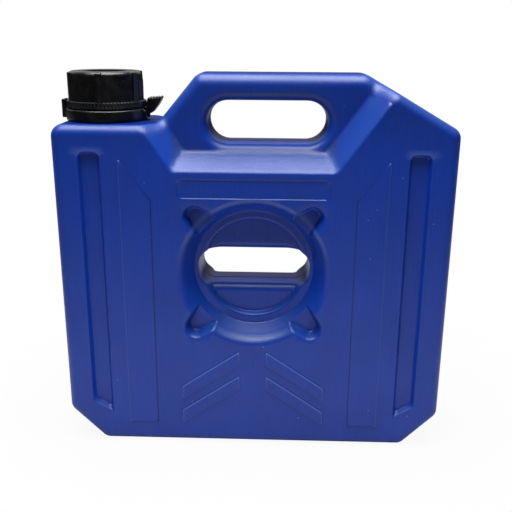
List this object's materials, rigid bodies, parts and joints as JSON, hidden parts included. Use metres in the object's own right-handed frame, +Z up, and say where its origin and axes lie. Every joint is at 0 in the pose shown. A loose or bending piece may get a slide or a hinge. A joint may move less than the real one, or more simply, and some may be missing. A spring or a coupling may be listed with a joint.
{
  "type": "jerry can",
  "caption": "Flat blow-moulded fuel canister with a handle, a recessed centre slot for a pack mount, and a screw cap with a ratchet lock lever.",
  "frame": {"origin": "middle of the base, on the surface that the can stands on", "axes": "+Z up, +X along the width from the filler neck's side to the far side, +Y from the front face to the back face"},
  "size_m": [0.3, 0.0816, 0.2957],
  "materials": {
    "tank": "semi-matte blue polyethylene, blow-moulded",
    "cap": "satin black polypropylene, injection-moulded",
    "fittings": "satin black polypropylene, injection-moulded",
    "spout": "black polyethylene",
    "seal": "dull black nitrile rubber"
  },
  "bodies": {
    "tank": {"tank_shell": "tank", "lock_collar": "fittings", "spout_flange": "spout", "spout_gasket": "seal", "spout_hose": "spout", "spout_nozzle": "spout"},
    "closure": {"stopper_disc": "fittings", "stopper_gasket": "seal"},
    "cap": {"screw_cap": "cap"},
    "lever": {"lock_lever": "fittings"}
  },
  "joints": [
    {"name": "closure_lift", "type": "slide", "parent": "tank", "child": "closure", "axis": [0, 0, 1], "range_m": [0, 0.0175]},
    {"name": "cap_turn", "type": "hinge", "parent": "closure", "child": "cap", "pos_m": [-0.1149, 0, 0.28], "axis": [0, 0, 1], "range_deg": [0, 1260]},
    {"name": "lever_release", "type": "hinge", "parent": "tank", "child": "lever", "pos_m": [-0.08475, 0, 0.264], "axis": [0, 1, 0], "range_deg": [0, 18]}
  ],
  "couplings": [
    {"joint": "closure_lift", "follows": "cap_turn", "m_per_rad": 0.00079577}
  ]
}
